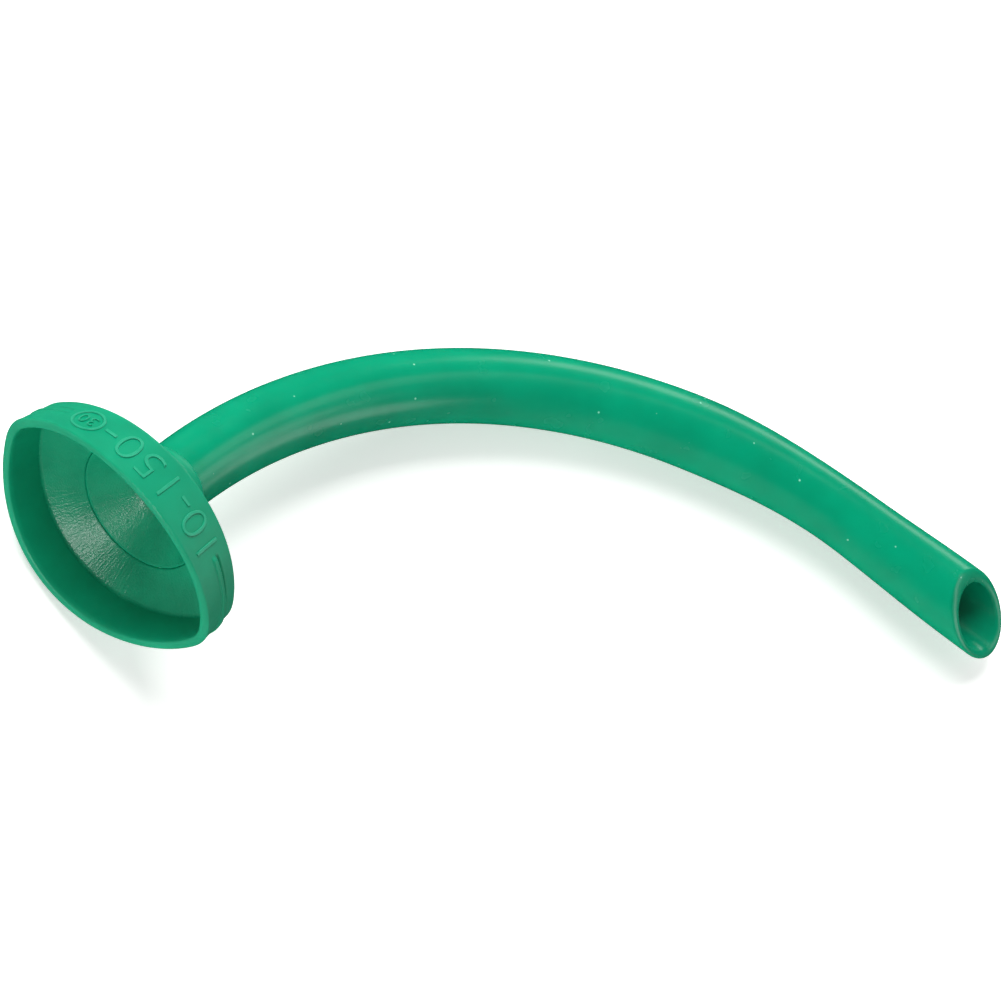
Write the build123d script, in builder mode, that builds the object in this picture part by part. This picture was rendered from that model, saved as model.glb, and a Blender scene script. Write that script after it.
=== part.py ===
"""A nasopharyngeal airway (nasal trumpet): a preformed soft tube bonded into a cupped oval flange.

Two pieces make it. The tube is a curved, thin-walled lumen with a bevelled tip and a flared root. The
flange is a deep oval cup, bent so that its two pointed ends sweep back, with a conical seat for the root.

The pieces are drawn about an arc frame: its X axis runs from the flange's rim into the tube, its Y axis
lies along the flange's long way, and the tube bends from +X towards -Y in its XY plane. The arc frame is
laid over, so that the airway rests on Z = 0 on the flange's side, the tube's bulge and nothing else.
"""

import os
from math import atan2, cos, degrees, pi, sin

from build123d import *

os.makedirs("parts", exist_ok=True)

# Tube: a 30 French airway, measured along its centreline from the plane of the flange's rim
tube_radius = 5.0
tube_wall = 1.0
bend_start = 17.0
bend_radius = 83.2
bend_length = 108.6
tip_station = 145.4
tip_slope = 1.04  # how far the bevel runs back along the tube for each millimetre across it
tip_rounding = 0.3
waist_station = 121.5
waist_reach = 22.0
waist_depth = 0.56
station_step = 6.0

# Root of the tube: a flared skirt that ends in a round edge on the cup's floor
skirt_radius = 9.45
skirt_station = 9.73
skirt_wall = 0.8
throat_station = 13.6

# Flange
half_length = 17.6
half_width = 13.4
end_radius = 4.7
band_wall = 1.07
band_depth = 8.5
band_taper = 1.1
back_end_radius = 6.9
cup_depth = 6.05
cup_taper = 0.5
rim_margin = 3.0
sweep_radius = 70.4
funnel_ledge = 1.1
back_length = 16.6
back_width = 12.9
neck_station = 14.2
neck_radius = 5.9
collar_station = 16.2
collar_radius = 5.3

# How the arc frame lies over the table
lay_roll = -6.84
lay_pitch = 9.95
rim_centre = (-51.565, 34.627, 15.381)

lumen_radius = tube_radius - tube_wall
rim_length = half_length + band_wall
rim_width = half_width + band_wall
bend_end = bend_start + bend_length
arc_frame = Plane(Location(rim_centre, (lay_roll, lay_pitch, 0)))


def framed(origin, x_dir, z_dir):
    """A plane given in the arc frame."""
    return Plane(arc_frame.location * Plane(origin=origin, x_dir=x_dir, z_dir=z_dir).location)


def across(station):
    """The plane across the flange's axis at a station, its X axis along the flange's long way."""
    return framed((station, 0, 0), (0, 1, 0), (1, 0, 0))


def centreline(station):
    """Place and heading of the tube's centreline: straight, then one arc, then straight."""
    turn = min(max(station - bend_start, 0), bend_length) / bend_radius
    straight = min(station, bend_start)
    tail = max(station - bend_end, 0)
    x = straight + bend_radius * sin(turn) + tail * cos(turn)
    y = -bend_radius * (1 - cos(turn)) - tail * sin(turn)
    return (x, y, 0), (cos(turn), -sin(turn), 0)


def across_tube(station):
    """The plane across the tube at a station."""
    place, heading = centreline(station)
    return framed(place, (0, 0, 1), heading)


def outer_radius(station):
    """The tube's radius, which draws in to a waist behind the tip."""
    offset = abs(station - waist_station)
    if offset > waist_reach:
        return tube_radius
    return tube_radius - waist_depth * cos(pi / 2 * offset / waist_reach) ** 2


def oval_lean(length, width, end):
    """Radius of an oval's side arcs, and the angle at which they meet the end arcs."""
    side = ((length - end) ** 2 + width**2 - end**2) / (2 * (width - end))
    return side, degrees(atan2(side - width, length - end))


def oval(length, width, end):
    """Four tangent arcs that close an oval, from its half length, half width and end radius."""
    side, lean = oval_lean(length, width, end)
    with BuildLine(mode=Mode.PRIVATE) as outline:
        CenterArc((0, width - side), side, lean, 180 - 2 * lean)
        CenterArc((end - length, 0), end, 180 - lean, 2 * lean)
        CenterArc((0, side - width), side, 180 + lean, 180 - 2 * lean)
        CenterArc((length - end, 0), end, -lean, 2 * lean)
    return outline.edges()


def quartered_circle(radius):
    """A circle of four arcs, which a loft pairs with an oval's four."""
    lean = oval_lean(half_length, half_width, end_radius)[1]
    with BuildLine(mode=Mode.PRIVATE) as outline:
        CenterArc((0, 0), radius, lean, 180 - 2 * lean)
        CenterArc((0, 0), radius, 180 - lean, 2 * lean)
        CenterArc((0, 0), radius, 180 + lean, 180 - 2 * lean)
        CenterArc((0, 0), radius, -lean, 2 * lean)
    return outline.edges()


def stations():
    """Stations from the start of the bend to past the tip, evenly spaced."""
    last = tip_station + 2 * tube_radius * tip_slope
    count = round((last - bend_start) / station_step)
    return [bend_start + (last - bend_start) * i / count for i in range(count + 1)]


skirt_slope = (skirt_radius - lumen_radius) / (throat_station - skirt_station)
skirt_back = skirt_station + skirt_wall
seat_end = skirt_back + (skirt_radius - tube_radius) / skirt_slope
tube_stations = stations()
flange_axis = Axis(arc_frame.origin, arc_frame.x_dir)

# The tube, with its skirt, lumen and bevelled tip
with BuildPart() as airway_tube:
    with BuildSketch(arc_frame):
        with BuildLine():
            Polyline(
                (skirt_station, 0),
                (skirt_station, skirt_radius),
                (skirt_back, skirt_radius),
                (seat_end, tube_radius),
                (bend_start, tube_radius),
                (bend_start, 0),
                close=True,
            )
        make_face()
    revolve(axis=flange_axis)
    for station in tube_stations:
        with BuildSketch(across_tube(station)):
            Circle(outer_radius(station))
    loft()
    with BuildSketch(arc_frame):
        with BuildLine():
            Polyline(
                (skirt_station, 0),
                (skirt_station, skirt_radius),
                (throat_station, lumen_radius),
                (bend_start, lumen_radius),
                (bend_start, 0),
                close=True,
            )
        make_face()
    revolve(axis=flange_axis, mode=Mode.SUBTRACT)
    for station in tube_stations:
        with BuildSketch(across_tube(station)):
            Circle(outer_radius(station) - tube_wall)
    loft(mode=Mode.SUBTRACT)
    tip_place, tip_heading = centreline(tip_station)
    bevel_facing = (tip_heading[0], tip_heading[1], tip_slope)
    bevel = framed(tip_place, (tip_heading[1], -tip_heading[0], 0), bevel_facing)
    split(bisect_by=bevel, keep=Keep.BOTTOM)
    fillet(airway_tube.faces().filter_by(bevel).edges(), tip_rounding)
airway_tube.part.label = "airway_tube"
export_step(airway_tube.part, "parts/airway_tube.step")

# The room inside the cup: the well down to its swept floor, and the funnel that leads to the skirt
with BuildPart() as cup_room:
    with BuildSketch(across(-rim_margin)):
        make_face(oval(half_length, half_width, end_radius))
    with BuildSketch(across(cup_depth + rim_margin)):
        make_face(oval(half_length - cup_taper, half_width - cup_taper, end_radius - cup_taper))
    loft(ruled=True)
    with BuildSketch(arc_frame):
        with Locations((cup_depth + sweep_radius, 0)):
            Circle(sweep_radius)
    extrude(amount=2 * half_width, both=True, mode=Mode.SUBTRACT)
    with BuildSketch(across(cup_depth)):
        make_face(oval(half_length - funnel_ledge, half_width - funnel_ledge, end_radius))
    with BuildSketch(across(skirt_station)):
        make_face(quartered_circle(skirt_radius))
    loft(ruled=True)
    with BuildSketch(arc_frame):
        with BuildLine():
            Polyline(
                (skirt_station, 0),
                (skirt_station, skirt_radius),
                (skirt_back, skirt_radius),
                (seat_end, tube_radius),
                (collar_station, tube_radius),
                (collar_station, 0),
                close=True,
            )
        make_face()
    revolve(axis=flange_axis)

# The flange: its band, the swept rim, the back that runs in to a collar round the tube, and the cup
with BuildPart() as flange:
    with BuildSketch(across(-rim_margin)):
        make_face(oval(rim_length, rim_width, end_radius + band_wall))
    with BuildSketch(across(band_depth)):
        make_face(oval(rim_length - band_taper, rim_width - band_taper / 3, back_end_radius))
    loft(ruled=True)
    with BuildSketch(across(band_depth)):
        make_face(oval(back_length, back_width, end_radius))
    with BuildSketch(across(neck_station)):
        make_face(quartered_circle(neck_radius))
    loft(ruled=True)
    with BuildSketch(arc_frame):
        with BuildLine():
            Polyline(
                (neck_station, 0),
                (neck_station, neck_radius),
                (collar_station, collar_radius),
                (collar_station, 0),
                close=True,
            )
        make_face()
    revolve(axis=flange_axis)
    with BuildSketch(arc_frame):
        with Locations((sweep_radius, 0)):
            Circle(sweep_radius)
    extrude(amount=2 * half_width, both=True, mode=Mode.INTERSECT)
    add(cup_room.part, mode=Mode.SUBTRACT)
flange.part.label = "flange"
export_step(flange.part, "parts/flange.step")
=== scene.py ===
from math import atan2, cos, pi, radians, sin

import bpy
import numpy as np
from mathutils import Matrix, Vector


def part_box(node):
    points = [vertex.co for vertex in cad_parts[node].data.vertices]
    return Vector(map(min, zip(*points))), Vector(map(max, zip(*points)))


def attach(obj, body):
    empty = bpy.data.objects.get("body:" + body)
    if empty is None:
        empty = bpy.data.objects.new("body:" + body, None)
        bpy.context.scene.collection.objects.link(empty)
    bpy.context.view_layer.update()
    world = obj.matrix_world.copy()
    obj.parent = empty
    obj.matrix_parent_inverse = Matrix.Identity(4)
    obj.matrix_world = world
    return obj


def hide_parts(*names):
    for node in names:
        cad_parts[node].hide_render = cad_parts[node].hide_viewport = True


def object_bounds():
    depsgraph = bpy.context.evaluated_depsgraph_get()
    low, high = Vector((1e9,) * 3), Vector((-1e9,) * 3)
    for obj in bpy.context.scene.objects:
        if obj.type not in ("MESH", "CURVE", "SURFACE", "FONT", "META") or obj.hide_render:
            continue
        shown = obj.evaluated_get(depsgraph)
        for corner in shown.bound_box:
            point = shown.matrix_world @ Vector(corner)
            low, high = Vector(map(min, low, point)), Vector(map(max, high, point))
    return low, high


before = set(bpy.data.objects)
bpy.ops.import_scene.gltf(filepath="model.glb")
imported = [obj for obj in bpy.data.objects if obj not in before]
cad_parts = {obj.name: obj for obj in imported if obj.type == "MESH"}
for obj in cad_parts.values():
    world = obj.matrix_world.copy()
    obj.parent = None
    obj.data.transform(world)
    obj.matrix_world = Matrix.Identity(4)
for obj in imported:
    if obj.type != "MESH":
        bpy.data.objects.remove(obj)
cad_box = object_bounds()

# ---------------------------------------------------------------------------------------------
# The camera. It looks down on the table from beyond the flange's mouth, far off through a long
# lens, so the airway shows almost no perspective. It is turned about its own line of sight, so
# that the tube runs across the view.
cad_low, cad_high = (np.array(corner) for corner in cad_box)
camera_aim = np.array([-0.000545, 0.005209, 0.015])
camera_elevation = radians(61.725)
camera_azimuth = radians(174.875)
camera_distance = 2.6240
camera_roll = radians(56.263)

towards_camera = np.array([
    cos(camera_elevation) * cos(camera_azimuth),
    cos(camera_elevation) * sin(camera_azimuth),
    sin(camera_elevation),
])
level_right = np.cross([0, 0, 1], towards_camera)
level_right = level_right / np.linalg.norm(level_right)
level_up = np.cross(towards_camera, level_right)
view_right = cos(camera_roll) * level_right + sin(camera_roll) * level_up
view_up = cos(camera_roll) * level_up - sin(camera_roll) * level_right


def facing(place, right, up, back):
    """The matrix of a camera or lamp at a place, from the directions of its own X, Y and Z."""
    turn = Matrix((right, up, back)).transposed().to_4x4()
    return Matrix.Translation(Vector(place)) @ turn


lens = bpy.data.cameras.new("airway_camera")
lens.lens = 719.28
lens.sensor_width = 36
lens.clip_end = 20
camera = bpy.data.objects.new("airway_camera", lens)
camera_place = camera_aim + camera_distance * towards_camera
camera.matrix_world = facing(camera_place, view_right, view_up, towards_camera)
bpy.context.collection.objects.link(camera)
bpy.context.scene.camera = camera
bpy.context.scene.view_settings.view_transform = "Standard"

# ---------------------------------------------------------------------------------------------
# The table: a plain sheet of white opal board, matt enough to give the airway no mirror image. Its
# surface glows a little, painted light in place of a lamp beneath it, which keeps the shadows pale.
# It runs far past the edges of any view.


def linear(code):
    """An sRGB hex colour as the linear values that shaders take, with full alpha."""
    channels = [int(code[i:i + 2], 16) / 255 for i in (1, 3, 5)]
    return [c / 12.92 if c <= 0.04045 else ((c + 0.055) / 1.055) ** 2.4 for c in channels] + [1]


def add_node(tree, kind, values=None, links=None, **settings):
    """Adds one node, with its settings, its socket values and what feeds its sockets."""
    node = tree.nodes.new(kind)
    for name, setting in settings.items():
        setattr(node, name, setting)
    for socket, value in (values or {}).items():
        node.inputs[socket].default_value = value
    for socket, source in (links or {}).items():
        tree.links.new(source, node.inputs[socket])
    return node


board = bpy.data.materials.new("glowing_white_opal_board")
board.use_nodes = True
board_shader = board.node_tree.nodes["Principled BSDF"]
board_shader.inputs["Base Color"].default_value = linear("#F4F4F2")
board_shader.inputs["Roughness"].default_value = 0.9
board_shader.inputs["Specular IOR Level"].default_value = 0.1
# the board's own glow: painted light standing in for a lamp beneath it, so shadows stay pale
board_shader.inputs["Emission Color"].default_value = linear("#FFFFFF")
board_shader.inputs["Emission Strength"].default_value = 0.42

table_reach = 3.0
table_mesh = bpy.data.meshes.new("table_board")
table_mesh.from_pydata(
    [(-table_reach, -table_reach, 0), (table_reach, -table_reach, 0),
     (table_reach, table_reach, 0), (-table_reach, table_reach, 0)], [], [(0, 1, 2, 3)])
table_mesh.materials.append(board)
table = bpy.data.objects.new("table_board", table_mesh)
table.visible_glossy = False
bpy.context.collection.objects.link(table)

# ---------------------------------------------------------------------------------------------
# Studio light. A broad panel overhead and two fills, one square to the flange's mouth and one from
# the near side, light it evenly and leave no mirror image. Four smaller panels, from behind round to
# the far side of the bend, draw the satin sheen. The surround is dim and pale.
centre = (cad_low + cad_high) / 2


def soft_panel(name, right, up, towards, distance, width, height, power, shines=True):
    """A rectangular lamp that faces the part's middle.

    It stands at a distance in metres, in the direction that the three parts give as the camera sees
    it. Where it doesn't shine, it gives diffuse light only.
    """
    direction = right * view_right + up * view_up + towards * towards_camera
    direction = direction / np.linalg.norm(direction)
    side = np.cross([0, 0, 1], direction)
    side = side / np.linalg.norm(side)
    panel = bpy.data.lights.new(name, "AREA")
    panel.shape = "RECTANGLE"
    panel.size = width
    panel.size_y = height
    panel.energy = power
    lamp = bpy.data.objects.new(name, panel)
    lamp.matrix_world = facing(centre + distance * direction,
                               side, np.cross(direction, side), direction)
    lamp.visible_glossy = shines
    bpy.context.collection.objects.link(lamp)


soft_panel("overhead_panel", 0.05, 0.85, 0.50, 1.0, 0.9, 0.9, 19, shines=False)
soft_panel("mouth_fill", -0.626, -0.492, 0.604, 1.2, 0.36, 0.36, 8.5, shines=False)
soft_panel("near_fill", 0.10, -0.85, 0.45, 1.2, 0.9, 0.6, 4.6, shines=False)
soft_panel("back_panel", 0.58, 0.72, -0.36, 1.0, 0.50, 0.30, 0.95)
soft_panel("side_panel", 0.85, 0.45, 0.28, 1.0, 0.36, 0.26, 0.32)
soft_panel("middle_panel", 0.99, 0.01, 0.12, 1.0, 0.40, 0.34, 0.65)
soft_panel("bend_panel", 0.89, -0.46, -0.02, 1.0, 0.60, 0.42, 1.3)

# a narrow lamp close in front of the mouth, which draws the sheen on one side of the cup's floor
mouth_lamp_distance = 0.28
flange_box = np.array(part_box("flange"))
cup_middle = np.array([flange_box[0, 0], flange_box[:, 1].mean(), flange_box[:, 2].mean()])
mouth_direction = -0.11 * view_right - 0.20 * view_up + 0.97 * towards_camera
mouth_direction = mouth_direction / np.linalg.norm(mouth_direction)
mouth_side = np.cross(view_up, mouth_direction)
mouth_side = mouth_side / np.linalg.norm(mouth_side)
mouth_lamp = bpy.data.lights.new("mouth_lamp", "SPOT")
mouth_lamp.energy = 1.5
mouth_lamp.shadow_soft_size = 0.02
mouth_lamp.spot_size = radians(11)
mouth_lamp.spot_blend = 0.5
lamp = bpy.data.objects.new("mouth_lamp", mouth_lamp)
lamp.matrix_world = facing(cup_middle + mouth_lamp_distance * mouth_direction, mouth_side,
                           np.cross(mouth_direction, mouth_side), mouth_direction)
lamp.visible_diffuse = False
lamp.visible_camera = False
bpy.context.collection.objects.link(lamp)

surround = bpy.data.worlds.new("pale_surround")
surround.use_nodes = True
surround.node_tree.nodes["Background"].inputs["Color"].default_value = linear("#FFFFFF")
surround.node_tree.nodes["Background"].inputs["Strength"].default_value = 0.18
surround.cycles_visibility.glossy = False
bpy.context.scene.world = surround

# ---------------------------------------------------------------------------------------------
# How the airway lies. Its own axes are in millimetres: X from the flange's rim into the tube, Y
# along the flange's long way, and the tube bends from +X towards -Y. It rests on the flange's
# side and the outside of its bend, which tilts those axes over the table.
lay_roll = radians(-6.84)
lay_pitch = radians(9.95)
rim_centre = np.array([-51.565, 34.627, 15.381])
rolled = np.array([
    [1, 0, 0],
    [0, cos(lay_roll), -sin(lay_roll)],
    [0, sin(lay_roll), cos(lay_roll)],
])
pitched = np.array([
    [cos(lay_pitch), 0, sin(lay_pitch)],
    [0, 1, 0],
    [-sin(lay_pitch), 0, cos(lay_pitch)],
])
lay = rolled @ pitched


def laid(points):
    """Points in the airway's own axes and millimetres, as they lie on the table in metres."""
    return (points @ lay.T + rim_centre) / 1000


def closed_skin(name, points, across, along):
    """A closed skin over a grid of points that joins up in both directions.

    Row i, column j meets row i+1 and column j+1 in one face. The faces are turned outwards by the
    sign of the volume they enclose. The map's U is the column's distance round and V the row's
    distance along, both in millimetres.
    """
    rows, columns = points.shape[:2]
    corner = np.arange(rows * columns).reshape(rows, columns)
    right = np.roll(corner, -1, 1)
    quads = np.stack([corner, right, np.roll(right, -1, 0), np.roll(corner, -1, 0)], -1)
    quads = quads.reshape(-1, 4)
    around = np.append(across, 2 * across[-1] - across[-2])
    length = np.append(along, 2 * along[-1] - along[-2])
    row, column = (grid.ravel() for grid in np.meshgrid(range(rows), range(columns), indexing="ij"))
    spread = np.stack([around[column], around[column + 1], around[column + 1], around[column]], -1)
    climb = np.stack([length[row], length[row], length[row + 1], length[row + 1]], -1)
    place = laid(points).reshape(-1, 3)
    first, second, third, fourth = (place[quads[:, k]] for k in range(4))
    volume = np.einsum("ij,ij->", first, np.cross(second, third) + np.cross(third, fourth))
    if volume < 0:
        quads, spread, climb = quads[:, ::-1], spread[:, ::-1], climb[:, ::-1]
    mesh = bpy.data.meshes.new(name)
    mesh.from_pydata(place.tolist(), [], quads.tolist())
    mesh.polygons.foreach_set("use_smooth", np.ones(len(quads), bool))
    unwrapped = mesh.uv_layers.new(name="millimetres")
    unwrapped.data.foreach_set("uv", np.stack([spread.ravel(), climb.ravel()], -1).ravel())
    piece = bpy.data.objects.new(name, mesh)
    bpy.context.collection.objects.link(piece)
    return piece


def distance_along(points):
    """The mean distance from the first row of a grid of points to each row."""
    steps = np.linalg.norm(np.diff(points, axis=0), axis=-1).mean(1)
    return np.append(0, steps.cumsum())


# ---------------------------------------------------------------------------------------------
# The flange: a soft PVC cup, pointed oval in outline, whose long ends sweep back from the face.
# It is injection moulded in one piece, with a thin band for a wall, a funnelled floor that takes
# the tube's flared root, and a collar behind. All its sizes are in millimetres.
half_length = 17.6
half_width = 13.42
end_radius = 4.68
rim_length = 18.88
rim_width = 14.48
rim_end = 6.5
back_length = 17.95
back_shift = 0.2
back_width = 14.15
back_end = 7.0
sweep_radius = 70.4
rim_rounding = 0.30
cup_depth = 6.05
cup_taper = 0.54
floor_end = 4.38
floor_round = 0.1
band_back = 8.3
band_sag = 0.35
rib_height = 0.26
groove_depth = 0.25
far_rib_share = 0.45
edge_round = 0.45
edge_start = 7.95
mean_radius = 16
back_face_step = 8.75
back_face_run = 5.6
shoulder_radius = 6.1
shoulder_rise = 1.6
shoulder_draw = 0.75
collar_station = 16.2
collar_lip = 5.25
ring_radius = 9.45
ring_station = 9.73
ring_gap = 0.05
seat_lift = 0.8
skirt_slope = 1.4
neck_radius = 5.0
neck_gap = 0.03
outline_round = 100
flange_columns = 440

turn_fraction = np.arange(flange_columns) / flange_columns


def oval(length, width, end, fraction=turn_fraction):
    """An oval of four tangent arcs: two of the end radius, and two side arcs that fit between.

    Each point sits at a fraction of the way round, from the end on +Y towards +Z.
    """
    side = ((length - end) ** 2 + width ** 2 - end ** 2) / (2 * (width - end))
    lean = atan2(side - width, length - end)
    turns = np.array([0, lean, pi - lean, pi + lean, 2 * pi - lean, 2 * pi])
    side_run = side * (pi - 2 * lean)
    runs = np.array([0, end * lean, side_run, 2 * end * lean, side_run, end * lean])
    turn = np.interp(fraction * runs.sum(), runs.cumsum(), turns)
    on_end = np.abs(np.sin(turn)) < sin(lean)
    centre_y = np.where(on_end, np.sign(np.cos(turn)) * (length - end), 0)
    centre_z = np.where(on_end, 0, -np.sign(np.sin(turn)) * (side - width))
    reach = np.where(on_end, end, side)
    return np.stack([centre_y + reach * np.cos(turn), centre_z + reach * np.sin(turn)], -1)


def swept(outline, depth):
    """A ring on the outline, behind the rim's sweep: X is the depth plus Y squared over its diameter."""
    return np.concatenate([(depth + outline[:, :1] ** 2 / (2 * sweep_radius)), outline], -1)


def level(outline, station):
    """A ring on the outline at one station, plus the band's sag, which grows with Y squared."""
    sag = band_sag * (outline[:, :1] / half_length) ** 2
    return np.concatenate([station + sag, outline], -1)


def upright(outline, station):
    """A ring on the outline, all at one station."""
    return np.concatenate([np.full((flange_columns, 1), station), outline], -1)


def eased(low, high, value):
    """0 below low and 1 above high; between, three squares less two cubes of the way there."""
    t = np.clip((value - low) / (high - low), 0, 1)
    return t * t * (3 - 2 * t)


mouth = oval(half_length, half_width, end_radius)
heading = np.arctan2(mouth[:, 1], mouth[:, 0])
spokes = np.stack([np.cos(heading), np.sin(heading)], -1)
floor_edge = oval(half_length - cup_taper, half_width - cup_taper, floor_end)
rim_edge = oval(rim_length, rim_width, rim_end)
back_edge = oval(back_length, back_width, back_end) - np.array([back_shift, 0])

flange_rows = []
# the rim, a half round from the inside of the wall over to the outside
for swing in np.linspace(0, pi, 11):
    over = (1 - cos(swing)) / 2
    flange_rows.append(swept((1 - over) * mouth + over * rim_edge, rim_rounding * (1 - sin(swing))))
# the band, straight from the swept rim to the nearly level back edge, with a rib and, behind it, a
# groove round each pointed end
for part_way in np.linspace(0.07, 0.95, 90):
    ring = (1 - part_way) * swept(rim_edge, 0) + part_way * level(back_edge, band_back)
    run = np.roll(ring[:, 1:], -1, 0) - np.roll(ring[:, 1:], 1, 0)
    outward = np.stack([run[:, 1], -run[:, 0]], -1)
    outward = outward / np.linalg.norm(outward, axis=1, keepdims=True)
    at_end = far_rib_share * eased(14.2, 14.8, ring[:, 1]) + eased(11.9, 12.5, -ring[:, 1])
    rib = eased(0.49, 0.515, part_way) * (1 - eased(0.60, 0.615, part_way))
    groove = eased(0.605, 0.625, part_way) * (1 - eased(0.66, 0.70, part_way))
    ring[:, 1:] += (at_end * (rib_height * rib - groove_depth * groove))[:, None] * outward
    flange_rows.append(ring)
# the rounded back edge, and the back face that steps in and runs down to the collar
for swing in np.linspace(0.15, pi / 2, 7):
    inset = edge_round * (1 - cos(swing))
    flange_rows.append(level(back_edge * (1 - inset / mean_radius),
                             edge_start + edge_round * sin(swing)))
back_face = oval(half_length - 0.9, half_width - 0.7, end_radius)
for part_way in np.linspace(0.1, 1, 24):
    outline = (1 - part_way) * back_face + part_way * shoulder_radius * spokes
    flange_rows.append(upright(outline, back_face_step + back_face_run * part_way))
for swing in np.linspace(0.2, pi / 2, 6):
    outline = (shoulder_radius - shoulder_draw * (1 - cos(swing))) * spokes
    flange_rows.append(upright(outline, back_face_step + back_face_run + shoulder_rise * sin(swing)))
# the bore that grips the tube, and the conical seat its skirt is bonded to
seat_start = ring_station + seat_lift
seat_end = seat_start + (ring_radius - neck_radius) / skirt_slope
bore_radius = neck_radius + neck_gap
recess_radius = ring_radius + ring_gap
for station, radius in ((collar_station, collar_lip), (collar_station, bore_radius),
                        (seat_end, bore_radius), (seat_start, recess_radius),
                        (ring_station + 0.1, recess_radius)):
    flange_rows.append(upright(radius * spokes, station))
# the floor, from the ring out to the wall, with a small round where they meet
floor_from = len(flange_rows)
for part_way in np.linspace(0, 0.97, 26):
    inner_ring = upright(recess_radius * spokes, ring_station)
    flange_rows.append((1 - part_way) * inner_ring + part_way * swept(floor_edge, cup_depth))
floor_to = len(flange_rows) + 1
# the inside of the wall, back to the rim
for part_way in (0.02, 0.05, 0.1, 0.2, 0.35, 0.5, 0.65, 0.8, 0.92):
    outline = (1 - part_way) * floor_edge + part_way * mouth
    flange_rows.append(swept(outline, cup_depth * (1 - part_way) - floor_round))

flange_points = np.array(flange_rows)
flange = closed_skin("flange_cup", flange_points, turn_fraction * outline_round,
                     distance_along(flange_points))

# Soft PVC, injection moulded: an opaque, slightly waxy green with a satin skin. The colour clouds
# faintly over about 5 mm, and the skin has a fine grain of about 0.4 mm.
flange_pvc = bpy.data.materials.new("moulded_soft_pvc")
flange_pvc.use_nodes = True
tree = flange_pvc.node_tree
shader = tree.nodes["Principled BSDF"]
shader.inputs["IOR"].default_value = 1.53
shader.inputs["Specular IOR Level"].default_value = 0.5
shader.inputs["Subsurface Weight"].default_value = 0.12
shader.inputs["Subsurface Radius"].default_value = (0.2, 1.0, 0.6)
shader.inputs["Subsurface Scale"].default_value = 0.0008
where = add_node(tree, "ShaderNodeTexCoord")
clouds = add_node(tree, "ShaderNodeTexNoise", {"Scale": 180, "Detail": 3},
                  {"Vector": where.outputs["Object"]})
tint = add_node(tree, "ShaderNodeValToRGB", None, {"Fac": clouds.outputs["Fac"]})
tint.color_ramp.elements[0].color = linear("#007D5A")
tint.color_ramp.elements[1].color = linear("#00966E")
tree.links.new(tint.outputs["Color"], shader.inputs["Base Color"])
grain = add_node(tree, "ShaderNodeTexNoise", {"Scale": 2600, "Detail": 2},
                 {"Vector": where.outputs["Object"]})
matt = add_node(tree, "ShaderNodeMapRange", {"To Min": 0.36, "To Max": 0.50},
                {"Value": grain.outputs["Fac"]})
tree.links.new(matt.outputs["Result"], shader.inputs["Roughness"])
skin_bump = add_node(tree, "ShaderNodeBump", {"Strength": 0.15, "Distance": 0.00003},
                     {"Height": grain.outputs["Fac"]})
tree.links.new(skin_bump.outputs["Normal"], shader.inputs["Normal"])
flange.data.materials.append(flange_pvc)

# The same PVC where the mould was spark eroded: a fine grain, with the faint spokes that the
# melt leaves as it runs out from the middle. It scatters the light over a broad dull sheen.
grained_pvc = bpy.data.materials.new("spark_grained_soft_pvc")
grained_pvc.use_nodes = True
tree = grained_pvc.node_tree
shader = tree.nodes["Principled BSDF"]
shader.inputs["IOR"].default_value = 1.53
shader.inputs["Specular IOR Level"].default_value = 0.55
where = add_node(tree, "ShaderNodeTexCoord")
clouds = add_node(tree, "ShaderNodeTexNoise", {"Scale": 220, "Detail": 3},
                  {"Vector": where.outputs["Object"]})
tint = add_node(tree, "ShaderNodeValToRGB", None, {"Fac": clouds.outputs["Fac"]})
tint.color_ramp.elements[0].color = linear("#007050")
tint.color_ramp.elements[1].color = linear("#00956C")
tree.links.new(tint.outputs["Color"], shader.inputs["Base Color"])
# grit 0.25 mm across, and spokes 0.5 mm apart that run out for about 4 mm
grit = add_node(tree, "ShaderNodeTexNoise", {"Scale": 4000, "Detail": 2},
                {"Vector": where.outputs["Object"]})
drawn_out = add_node(tree, "ShaderNodeMapping", {"Scale": (1.0, 0.12, 1.0)},
                     {"Vector": where.outputs["UV"]})
flow_lines = add_node(tree, "ShaderNodeTexNoise", {"Scale": 2.0, "Detail": 2},
                      {"Vector": drawn_out.outputs["Vector"]})
relief = add_node(tree, "ShaderNodeMath", None,
                  {0: grit.outputs["Fac"], 1: flow_lines.outputs["Fac"]}, operation="ADD")
matt = add_node(tree, "ShaderNodeMapRange", {"To Min": 0.28, "To Max": 0.42},
                {"Value": grit.outputs["Fac"]})
tree.links.new(matt.outputs["Result"], shader.inputs["Roughness"])
skin_bump = add_node(tree, "ShaderNodeBump", {"Strength": 1.0, "Distance": 0.00006},
                     {"Height": relief.outputs["Value"]})
tree.links.new(skin_bump.outputs["Normal"], shader.inputs["Normal"])
flange.data.materials.append(grained_pvc)
flange_slots = np.zeros(len(flange.data.polygons), int)
flange_slots[floor_from * flange_columns:floor_to * flange_columns] = 1
flange.data.polygons.foreach_set("material_index", flange_slots)
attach(flange, "root")
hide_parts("flange")

# ---------------------------------------------------------------------------------------------
# The size marks: raised figures moulded on the band, one piece with it. A row gives the outside
# diameter and the length in millimetres, and a ring holds the size in French.
band_round = 101.5
# how far a mark stands proud of the band, and how far it reaches into it
mark_height = 0.16
mark_root = 0.12
french_middle = 13.2
french_ring_radius = 2.3
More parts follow.
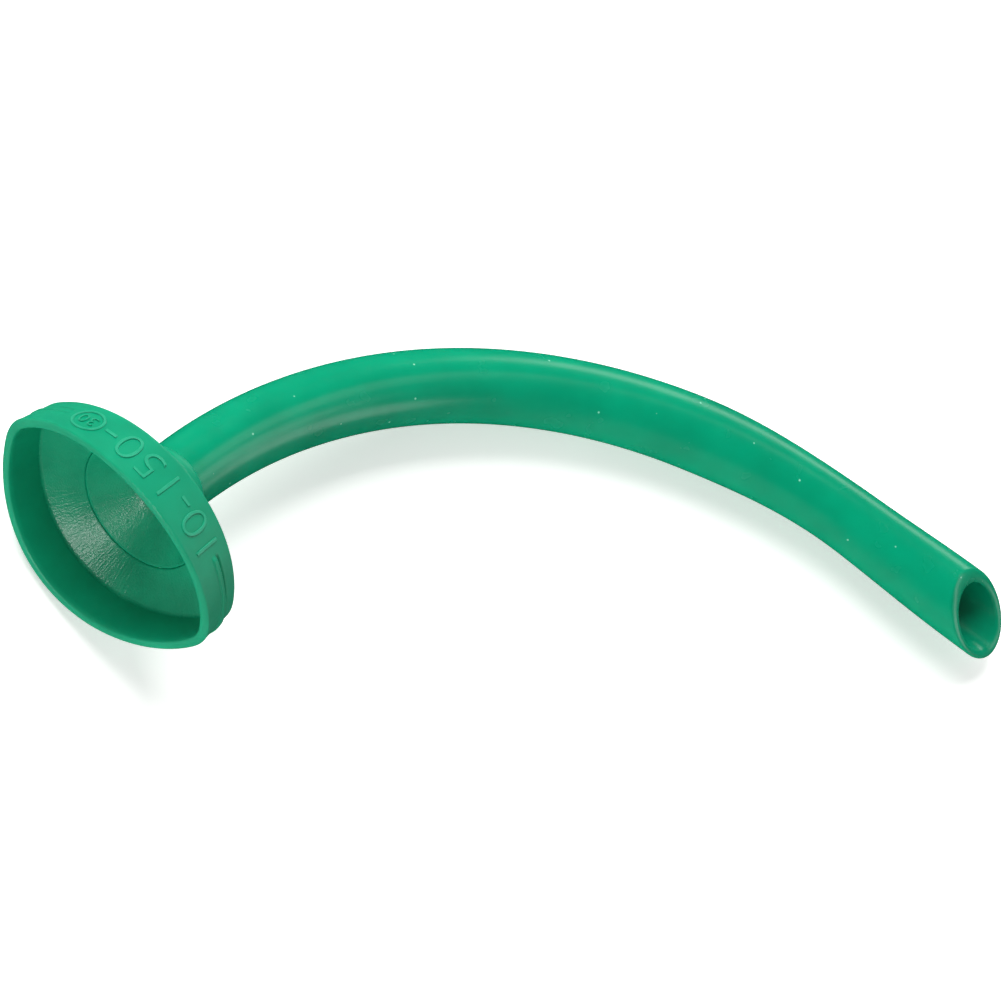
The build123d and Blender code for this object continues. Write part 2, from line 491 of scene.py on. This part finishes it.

# The same moulded PVC, painted paler on the raised marks: a painted highlight for the light that their
# small edges catch, in patches about 1 mm across.
mark_pvc = bpy.data.materials.new("soft_pvc_painted_pale")
mark_pvc.use_nodes = True
tree = mark_pvc.node_tree
shader = tree.nodes["Principled BSDF"]
shader.inputs["IOR"].default_value = 1.53
where = add_node(tree, "ShaderNodeTexCoord")
pale_patches = add_node(tree, "ShaderNodeTexNoise", {"Scale": 900, "Detail": 2},
                   {"Vector": where.outputs["Object"]})
# a paler green than the band, painted highlight on the marks
tint = add_node(tree, "ShaderNodeValToRGB", None, {"Fac": pale_patches.outputs["Fac"]})
tint.color_ramp.elements[0].color = linear("#0C8C67")
tint.color_ramp.elements[1].color = linear("#2C9C78")
tree.links.new(tint.outputs["Color"], shader.inputs["Base Color"])
matt = add_node(tree, "ShaderNodeMapRange", {"To Min": 0.28, "To Max": 0.42},
                {"Value": pale_patches.outputs["Fac"]})
tree.links.new(matt.outputs["Result"], shader.inputs["Roughness"])


def on_band_point(along_band, across_band, lift):
    """Places flat marks on the band, from the millimetres round it, across it and up from it.

    The place is on the straight line between the rim and the back edge, at that fraction of the way
    round and across, moved out along the normal.
    """
    fraction = 0.25 - along_band / band_round
    share = (0.5 - across_band / band_back)[:, None]
    step = 1e-4
    ahead, behind = (
        (1 - share) * swept(oval(rim_length, rim_width, rim_end, fraction + shift), 0)
        + share * level(oval(back_length, back_width, back_end, fraction + shift)
                        - np.array([back_shift, 0]), band_back)
        for shift in (step, -step))
    run = ahead[:, 1:] - behind[:, 1:]
    outward = np.stack([run[:, 1], -run[:, 0]], -1)
    outward = outward / np.linalg.norm(outward, axis=1, keepdims=True)
    place = (ahead + behind) / 2
    place[:, 1:] += lift[:, None] * outward
    return place


def raised_figures(name, figures, middle, length, height):
    """Raised figures, from their middle's distance round the band, their length and their height.

    The text is made a mesh, scaled to those sizes and bent over the band point by point.
    """
    face = bpy.data.curves.new(name, "FONT")
    face.body = figures
    face.offset = -0.028
    face.extrude = 0.02
    face.bevel_depth = 0.012
    face.bevel_resolution = 2
    lettering = bpy.data.objects.new(name + "_flat", face)
    bpy.context.collection.objects.link(lettering)
    bpy.context.view_layer.update()
    mesh = bpy.data.meshes.new_from_object(lettering)
    bpy.data.objects.remove(lettering)
    spots = np.empty(len(mesh.vertices) * 3)
    mesh.vertices.foreach_get("co", spots)
    spots = spots.reshape(-1, 3)
    low, high = spots.min(0), spots.max(0)
    spots = (spots - (low + high) / 2) / (high - low)
    lift = spots[:, 2] * (mark_height + mark_root) + (mark_height - mark_root) / 2
    place = laid(on_band_point(middle + spots[:, 0] * length, spots[:, 1] * height, lift))
    mesh.vertices.foreach_set("co", place.ravel())
    mesh.name = name
    mesh.materials.clear()
    mesh.materials.append(mark_pvc)
    piece = bpy.data.objects.new(name, mesh)
    bpy.context.collection.objects.link(piece)
    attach(piece, "root")


raised_figures("size_figures", "10-150", -1.9, 18.6, 4.7)
raised_figures("size_dash", "-", 9.1, 1.9, 0.55)
raised_figures("french_figures", "30", french_middle, 2.7, 2.0)

# the ring round the French size: a flat-topped bead carried round a circle
ring_swing = 2 * pi * np.arange(72) / 72
bead_rows = []
for offset, lift in ((0.22, -mark_root), (0.20, mark_height * 0.7), (0.12, mark_height),
                     (-0.12, mark_height), (-0.20, mark_height * 0.7), (-0.22, -mark_root)):
    bead = french_ring_radius + offset
    round_band = french_middle + bead * np.cos(ring_swing)
    lifts = np.full(ring_swing.shape, lift)
    bead_rows.append(on_band_point(round_band, bead * np.sin(ring_swing), lifts))
size_ring = closed_skin("size_ring", np.array(bead_rows), ring_swing * french_ring_radius,
                        np.arange(6) * 0.2)
size_ring.data.materials.append(mark_pvc)
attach(size_ring, "root")

# ---------------------------------------------------------------------------------------------
# The tube: soft PVC, extruded, then heated and set on a curved mandrel, with its tip cut back on
# the slant and its root flared into a skirt. The skirt is bonded into the flange's seat, and its
# edge shows as a fine ring on the cup's floor. All its sizes are in millimetres.
tube_radius = 5.0
tube_wall = 1.0
bend_start = 17.0
bend_radius = 83.2
bend_length = 108.6
tip_station = 145.4
tip_slope = 1.04
tip_twist = 0.17
lip_round = 0.6
lip_wall = 1.25
lip_lean = 0.4
waist_station = 121.5
waist_reach = 22.0
waist_depth = 0.56
waist_start = 96.0
root_station = 15
throat_station = 13.6
skirt_edge = 9.42
skirt_inside = 9.34
throat_flare = 0.75
tube_columns = 128

around = 2 * pi * np.arange(tube_columns) / tube_columns


def tube_outside(station):
    """The tube's radius: even, but for a waist that dips by a cosine squared behind the tip."""
    offset = np.clip(np.abs(station - waist_station) / waist_reach, 0, 1)
    return tube_radius - waist_depth * np.cos(pi / 2 * offset) ** 2


tip_wall = lip_wall + lip_lean * np.sin(around)


def tube_inside(station):
    """The lumen's radius: one wall in from the outside, and by more towards the tip.

    The wall thickens with the square of the way over 10 mm that end 4 mm short of the tip.
    """
    thickening = np.clip((station - tip_station + 14) / 10, 0, 1)
    return tube_outside(station) - tube_wall - (tip_wall - tube_wall) * thickening ** 2


def tube_ring(station, radius):
    """A ring round the centreline, which runs straight, round one arc, and straight again.

    Both may vary round the ring. The point is the centreline's at that station, plus the radius
    times the cosine towards the outside of the bend and the sine along Z.
    """
    station = np.broadcast_to(station, around.shape)
    turn = np.clip(station - bend_start, 0, bend_length) / bend_radius
    head = np.minimum(station, bend_start)
    tail = np.maximum(station - bend_start - bend_length, 0)
    outwards = radius * np.cos(around)
    x = head + bend_radius * np.sin(turn) + tail * np.cos(turn) + outwards * np.sin(turn)
    y = -bend_radius * (1 - np.cos(turn)) - tail * np.sin(turn) + outwards * np.cos(turn)
    z = radius * np.sin(around)
    return np.stack([x, y, np.broadcast_to(z, x.shape)], -1)


def bevel(radius):
    """Station of the slanted cut: the tip's, less the slope times the height, plus a slight twist.

    The height is the radius times the sine round the tube, and the twist goes by its cosine.
    """
    return tip_station - tip_slope * radius * np.sin(around) + tip_twist * radius * np.cos(around)


tube_rows = []
# the skirt's edge and back, and the outside of the tube as far as the tip
for station, radius in ((ring_station + 0.03, skirt_edge - 0.02), (ring_station + 0.12, skirt_edge),
                        (seat_start, skirt_edge)):
    tube_rows.append(tube_ring(station, radius))
skirt_run = (ring_radius - tube_radius) / skirt_slope
for part_way in np.linspace(0.1, 1, 8):
    tube_rows.append(tube_ring(seat_start + 0.03 + skirt_run * part_way,
                               skirt_edge + (tube_radius - skirt_edge) * part_way))
for station in np.arange(root_station, waist_start, 0.5):
    tube_rows.append(tube_ring(station, tube_radius))
outside_end = bevel(tube_radius) - lip_round
for part_way in np.linspace(0, 1, 80):
    station = waist_start + (outside_end - waist_start) * part_way
    tube_rows.append(tube_ring(station, tube_outside(station)))
# the soft lip round the slanted opening
for swing in np.linspace(0, pi, 14)[1:-1]:
    radius = tube_radius - tip_wall / 2 * (1 - cos(swing))
    tube_rows.append(tube_ring(bevel(radius) - lip_round * (1 - sin(swing)), radius))
# the lumen, back from the tip to the throat, and the inside of the skirt
inside_end = bevel(tube_radius - tip_wall) - lip_round
for part_way in np.linspace(1, 0, 60):
    station = waist_start + (inside_end - waist_start) * part_way
    tube_rows.append(tube_ring(station, tube_inside(station)))
for station in np.arange(waist_start - 1, throat_station + 1, -1.0):
    tube_rows.append(tube_ring(station, tube_radius - tube_wall))
skirt_from = len(tube_rows)
for ahead, flare in ((0.9, 0.0), (0.5, 0.04), (0.15, 0.15), (-0.15, 0.36), (-0.5, throat_flare)):
    tube_rows.append(tube_ring(throat_station + ahead, tube_radius - tube_wall + flare))
throat_edge = tube_radius - tube_wall + throat_flare
throat_back = throat_station - 0.5
for part_way in np.linspace(0.15, 1, 16):
    tube_rows.append(tube_ring(throat_back + (ring_station - throat_back) * part_way,
                               throat_edge + (skirt_inside - throat_edge) * part_way))

tube_points = np.array(tube_rows)
tube = closed_skin("airway_tube_wall", tube_points, around * tube_radius,
                   distance_along(tube_points))

# Soft PVC, extruded: the same green, with the satin of a drawn surface, faint clouding over about
# 7 mm, and sparse pale flecks.
tube_pvc = bpy.data.materials.new("extruded_soft_pvc")
tube_pvc.use_nodes = True
tree = tube_pvc.node_tree
shader = tree.nodes["Principled BSDF"]
shader.inputs["IOR"].default_value = 1.53
shader.inputs["Specular IOR Level"].default_value = 0.5
shader.inputs["Subsurface Weight"].default_value = 0.12
shader.inputs["Subsurface Radius"].default_value = (0.2, 1.0, 0.6)
shader.inputs["Subsurface Scale"].default_value = 0.0008
where = add_node(tree, "ShaderNodeTexCoord")
clouds = add_node(tree, "ShaderNodeTexNoise", {"Scale": 140, "Detail": 3},
                  {"Vector": where.outputs["Object"]})
tint = add_node(tree, "ShaderNodeValToRGB", None, {"Fac": clouds.outputs["Fac"]})
tint.color_ramp.elements[0].color = linear("#007D5A")
tint.color_ramp.elements[1].color = linear("#00966E")
tree.links.new(tint.outputs["Color"], shader.inputs["Base Color"])
# pale flecks about 0.25 mm across, a few millimetres apart
flecks = add_node(tree, "ShaderNodeTexVoronoi", {"Scale": 360}, {"Vector": where.outputs["Object"]})
fleck_edge = add_node(tree, "ShaderNodeMapRange",
                      {"From Min": 0.035, "From Max": 0.065, "To Min": 1, "To Max": 0},
                      {"Value": flecks.outputs["Distance"]})
flecked = add_node(tree, "ShaderNodeMixRGB", {"Color2": linear("#7CC9AC")},
                   {"Fac": fleck_edge.outputs["Result"], "Color1": tint.outputs["Color"]})
tree.links.new(flecked.outputs["Color"], shader.inputs["Base Color"])
# shallow dimples 3 mm apart
dimples = add_node(tree, "ShaderNodeTexNoise", {"Scale": 320, "Detail": 2},
                   {"Vector": where.outputs["Object"]})
matt = add_node(tree, "ShaderNodeMapRange", {"To Min": 0.20, "To Max": 0.31},
                {"Value": dimples.outputs["Fac"]})
tree.links.new(matt.outputs["Result"], shader.inputs["Roughness"])
skin_bump = add_node(tree, "ShaderNodeBump", {"Strength": 0.08, "Distance": 0.00006},
                     {"Height": dimples.outputs["Fac"]})
tree.links.new(skin_bump.outputs["Normal"], shader.inputs["Normal"])
tube.data.materials.append(tube_pvc)
tube.data.materials.append(grained_pvc)
tube_slots = np.zeros(len(tube.data.polygons), int)
tube_slots[skirt_from * tube_columns:(len(tube_rows) - 1) * tube_columns] = 1
tube.data.polygons.foreach_set("material_index", tube_slots)
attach(tube, "root")
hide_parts("airway_tube")
